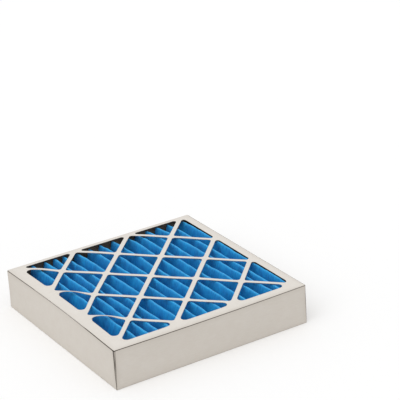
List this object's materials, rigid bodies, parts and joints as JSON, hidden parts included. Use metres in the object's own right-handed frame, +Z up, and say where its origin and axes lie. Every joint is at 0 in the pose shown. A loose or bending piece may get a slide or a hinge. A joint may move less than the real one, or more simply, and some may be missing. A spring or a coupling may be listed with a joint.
{
  "type": "pleated panel air filter",
  "caption": "Square pleated air filter: blue zigzag media between two folded board trays, each with a lattice of diagonal strips, for a duct or air handler.",
  "frame": {"origin": "centre of the square underside, on the plane that the filter lies on", "axes": "+Z up through the filter, along the air path; X across the pleats, Y along the pleats"},
  "size_m": [0.495, 0.495, 0.095],
  "materials": {
    "board": "matte",
    "media": "matte",
    "expanded_metal": "satin",
    "adhesive": "matte"
  },
  "bodies": {
    "root": {"outer_tray": "board", "inner_tray": "board", "pleated_media": "media", "wire_backing": "expanded_metal", "front_end_bead": "adhesive", "back_end_bead": "adhesive", "left_side_bead": "adhesive", "right_side_bead": "adhesive"}
  },
  "joints": []
}
